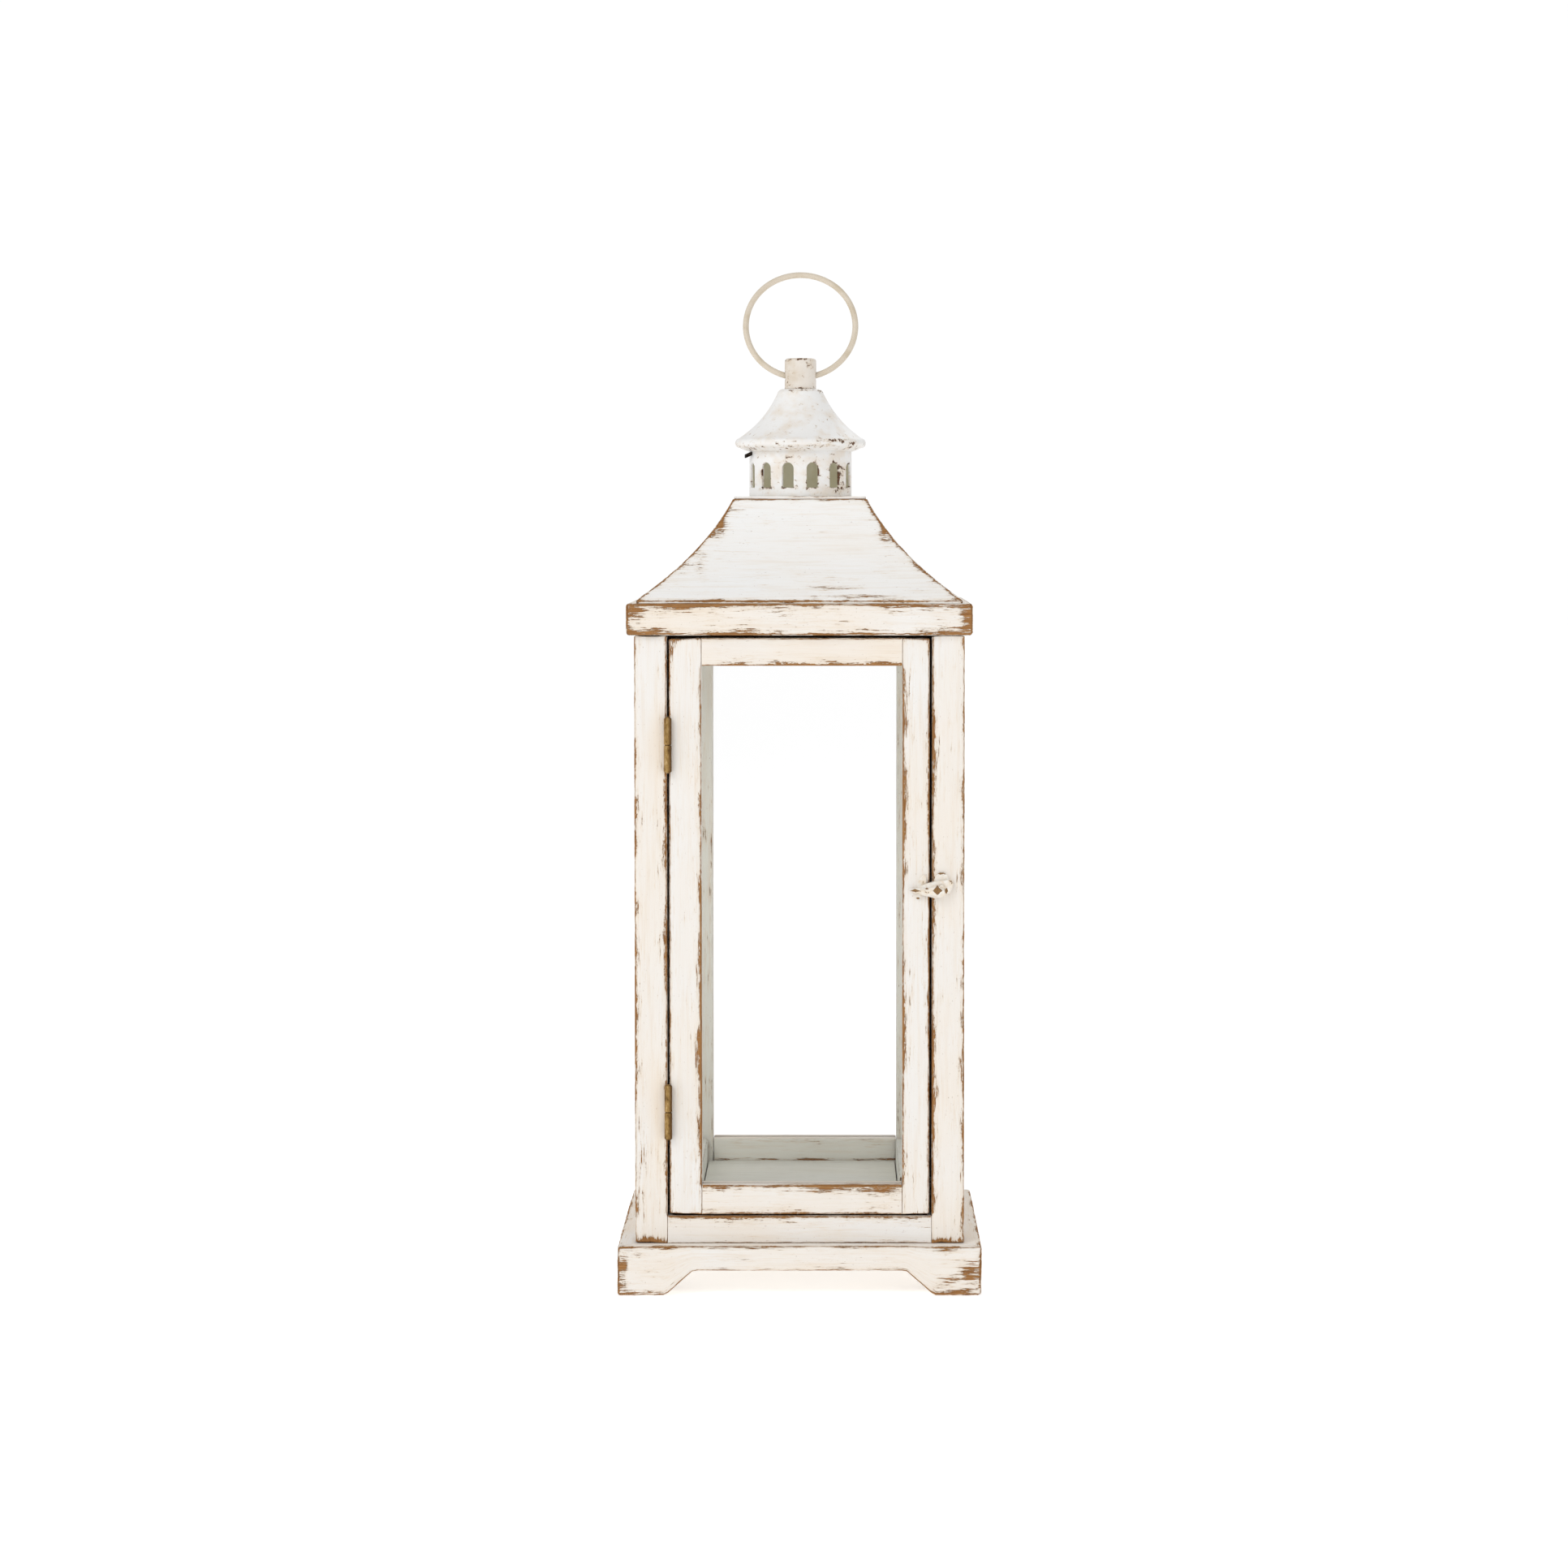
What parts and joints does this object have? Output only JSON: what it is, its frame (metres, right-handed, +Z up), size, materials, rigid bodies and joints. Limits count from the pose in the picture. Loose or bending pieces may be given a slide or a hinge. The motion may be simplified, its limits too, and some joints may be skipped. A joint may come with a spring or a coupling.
{
  "type": "candle lantern",
  "caption": "Square glazed wooden lantern with a hinged door, footed plinth, concave hollow roof, slotted vent collar, flared cap and carrying ring.",
  "frame": {"origin": "centre of the plinth's footprint, on the surface it stands on", "axes": "+Z up, -Y out of the door, +X towards the latch side"},
  "size_m": [0.19, 0.19, 0.5377],
  "materials": {
    "white_paint": "chalky warm-white paint, rubbed through to brown wood at the edges",
    "roof_paint": "chalky cool-white paint, rubbed through at the hips",
    "inner_paint": "matt grey-green paint",
    "painted_metal": "satin off-white enamel with brown chips",
    "ring_paint": "satin cream enamel",
    "brass": "antique brass",
    "dark_steel": "dark, dull",
    "glass": "clear"
  },
  "bodies": {
    "case": {"plinth_front": "white_paint", "plinth_right": "white_paint", "plinth_back": "white_paint", "plinth_left": "white_paint", "plinth_inner_board": "white_paint", "post_front_left": "white_paint", "post_front_right": "white_paint", "post_back_left": "white_paint", "post_back_right": "white_paint", "front_rail": "white_paint", "floor_batten_left": "inner_paint", "floor_batten_right": "inner_paint", "floor_board": "inner_paint", "floor_cleat_left": "inner_paint", "floor_cleat_right": "inner_paint", "door_stop": "inner_paint", "right_stile_a": "white_paint", "right_stile_b": "white_paint", "right_rail_bottom": "white_paint", "right_rail_top": "white_paint", "right_pane": "glass", "back_stile_a": "white_paint", "back_stile_b": "white_paint", "back_rail_bottom": "white_paint", "back_rail_top": "white_paint", "back_pane": "glass", "left_stile_a": "white_paint", "left_stile_b": "white_paint", "left_rail_bottom": "white_paint", "left_rail_top": "white_paint", "left_pane": "glass", "hinge_lower_post_leaf": "brass", "hinge_lower_pin": "brass", "hinge_upper_post_leaf": "brass", "hinge_upper_pin": "brass", "latch_rosette": "painted_metal", "latch_pin": "dark_steel", "cornice_front": "white_paint", "cornice_right": "white_paint", "cornice_back": "white_paint", "cornice_left": "white_paint", "roof_front": "roof_paint", "roof_right": "roof_paint", "roof_back": "roof_paint", "roof_left": "roof_paint", "roof_top_plate": "roof_paint", "vent_collar": "painted_metal", "chimney_cap": "painted_metal", "neck": "painted_metal", "cap_lock_tab": "dark_steel"},
    "door": {"door_stile_hinge": "white_paint", "door_stile_latch": "white_paint", "door_rail_bottom": "white_paint", "door_rail_top": "white_paint", "door_pane": "glass", "hinge_lower_door_leaf": "brass", "hinge_upper_door_leaf": "brass", "latch_keeper": "painted_metal"},
    "latch": {"latch_lever": "painted_metal"},
    "ring": {"carrying_ring": "ring_paint"}
  },
  "joints": [
    {"name": "door_swing", "type": "hinge", "parent": "case", "child": "door", "pos_m": [-0.0684, -0.0883, 0.19], "axis": [0, 0, -1], "range_deg": [0, 170]},
    {"name": "latch_turn", "type": "hinge", "parent": "case", "child": "latch", "pos_m": [0.074, -0.09, 0.213], "axis": [0, 1, 0], "range_deg": [-90, 90]},
    {"name": "ring_swing", "type": "hinge", "parent": "case", "child": "ring", "pos_m": [0, 0, 0.4808], "axis": [1, 0, 0], "range_deg": [-119, 157]}
  ]
}
